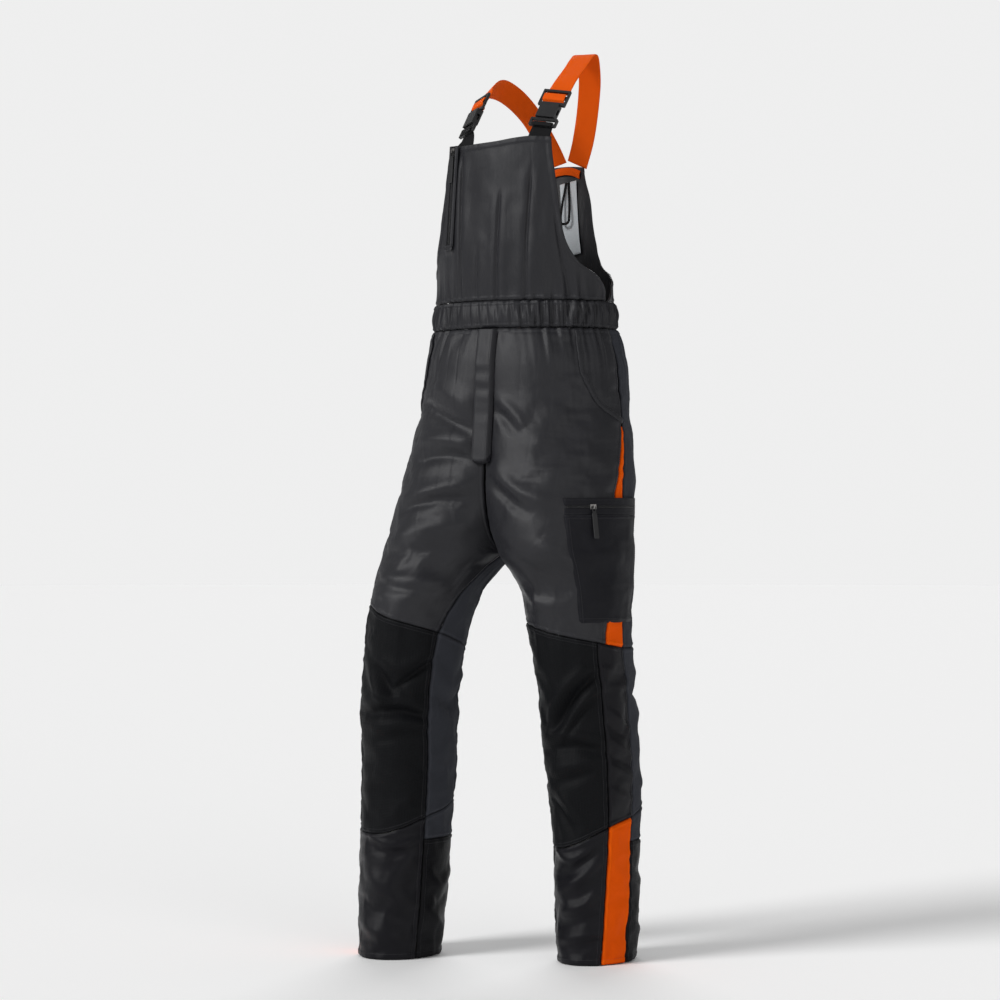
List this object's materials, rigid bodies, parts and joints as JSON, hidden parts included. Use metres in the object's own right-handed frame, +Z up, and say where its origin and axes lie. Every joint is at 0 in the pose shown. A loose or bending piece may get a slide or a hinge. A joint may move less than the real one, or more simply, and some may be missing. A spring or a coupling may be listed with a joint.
{
  "type": "bib-and-brace protective work overall",
  "caption": "Bib-and-brace work overall with cut-protection pads, padded legs, side-release brace buckles, zipped pockets and orange inserts.",
  "frame": {"origin": "middle of the waist, level with the middle of the waistband", "axes": "+Z up, -Y to the wearer's front, +X to the wearer's left"},
  "size_m": [0.4572, 0.3604, 1.523],
  "materials": {
    "shell_twill": "satin woven outer fabric, anthracite",
    "stretch_grey": "matt four-way stretch fabric, dark grey",
    "knee_ripstop": "hard-wearing ripstop, near black",
    "signal_orange": "matt signal orange fabric",
    "orange_webbing": "ribbed elastic webbing, orange",
    "black_webbing": "ribbed webbing, black",
    "black_plastic": "moulded acetal, black",
    "zip_tape": "woven zip tape with a moulded coil",
    "zip_metal": "black enamelled die casting",
    "pull_rubber": "moulded pull tab",
    "cut_pad": "layered cut-protection fibre pad",
    "lining": "light mesh lining",
    "label_grey": "blank satin label"
  },
  "bodies": {
    "garment": {"left_thigh_front": "shell_twill", "left_side_insert": "signal_orange", "left_seat_panel": "stretch_grey", "left_inner_panel": "stretch_grey", "left_knee_back": "shell_twill", "left_thigh_pad": "cut_pad", "left_thigh_lining": "lining", "left_hand_pocket": "lining", "left_strap": "orange_webbing", "left_bib_tab": "black_webbing", "left_buckle_tongue": "black_plastic", "right_thigh_front": "shell_twill", "right_side_insert": "signal_orange", "right_seat_panel": "stretch_grey", "right_inner_panel": "stretch_grey", "right_knee_back": "shell_twill", "right_thigh_pad": "cut_pad", "right_thigh_lining": "lining", "right_hand_pocket": "lining", "right_strap": "orange_webbing", "right_bib_tab": "black_webbing", "right_buckle_tongue": "black_plastic", "fly_placket": "shell_twill", "thigh_pocket": "knee_ripstop", "thigh_zip_band": "zip_tape", "front_waistband": "shell_twill", "back_waistband": "stretch_grey", "waist_elastic": "black_webbing", "bib_panel": "shell_twill", "bib_lining": "lining", "chest_pocket_bag": "lining", "back_panel": "stretch_grey", "strap_yoke": "signal_orange", "chest_zip_tape": "zip_tape", "fly_zip_tape": "zip_tape"},
    "left_shin": {"left_knee_patch": "knee_ripstop", "left_shin_front": "shell_twill", "left_shin_insert": "signal_orange", "left_calf_panel": "shell_twill", "left_kick_patch": "knee_ripstop", "left_shin_pad": "cut_pad", "left_shin_lining": "lining"},
    "right_shin": {"right_knee_patch": "knee_ripstop", "right_shin_front": "shell_twill", "right_shin_insert": "signal_orange", "right_calf_panel": "shell_twill", "right_kick_patch": "knee_ripstop", "right_shin_pad": "cut_pad", "right_shin_lining": "lining"},
    "left_buckle": {"left_buckle_body": "black_plastic"},
    "right_buckle": {"right_buckle_body": "black_plastic"},
    "chest_slider": {"chest_zip_slider": "zip_metal"},
    "chest_pull": {"chest_zip_pull": "pull_rubber"},
    "fly_slider": {"fly_zip_slider": "zip_metal"},
    "thigh_slider": {"thigh_zip_slider": "zip_metal"},
    "thigh_pull": {"thigh_zip_pull": "pull_rubber"},
    "inside_label": {"care_label": "label_grey", "hanger_loop": "black_webbing"}
  },
  "joints": [
    {"name": "left_knee", "type": "hinge", "parent": "garment", "child": "left_shin", "pos_m": [0.1325, -0.02422, -0.637], "axis": [1, 0, 0], "range_deg": [0, 75], "deforming": ["left_knee_back"]},
    {"name": "left_buckle_release", "type": "slide", "parent": "garment", "child": "left_buckle", "axis": [0.08, 0.5803, 0.8104], "range_m": [0, 0.03], "deforming": ["left_strap"]},
    {"name": "right_knee", "type": "hinge", "parent": "garment", "child": "right_shin", "pos_m": [-0.15498, -0.12067, -0.637], "axis": [1, 0, 0], "range_deg": [0, 75], "deforming": ["right_knee_back"]},
    {"name": "right_buckle_release", "type": "slide", "parent": "garment", "child": "right_buckle", "axis": [0.1202, 0.5108, 0.8513], "range_m": [0, 0.03], "deforming": ["right_strap"]},
    {"name": "chest_zip", "type": "slide", "parent": "garment", "child": "chest_slider", "axis": [0.042, 0.0425, 0.9982], "range_m": [-0.145, 0]},
    {"name": "chest_pull_swing", "type": "hinge", "parent": "chest_slider", "child": "chest_pull", "pos_m": [-0.07974, -0.10744, 0.27699], "axis": [0.9178, -0.3965, -0.0218], "range_deg": [-120, 0]},
    {"name": "fly_zip", "type": "slide", "parent": "garment", "child": "fly_slider", "axis": [0, 0.068, 0.9977], "range_m": [-0.13, 0]},
    {"name": "thigh_zip", "type": "hinge", "parent": "garment", "child": "thigh_slider", "pos_m": [0.06884, -0.03199, -0.32], "axis": [0, 0, 1], "range_deg": [-14, 48]},
    {"name": "thigh_pull_swing", "type": "hinge", "parent": "thigh_slider", "child": "thigh_pull", "pos_m": [0.19058, -0.10846, -0.32], "axis": [0.5319, 0.8468, 0], "range_deg": [-90, 0]},
    {"name": "label_swing", "type": "hinge", "parent": "garment", "child": "inside_label", "pos_m": [0.01945, 0.11667, 0.24], "axis": [-1, 0, 0], "range_deg": [0, 45]}
  ]
}
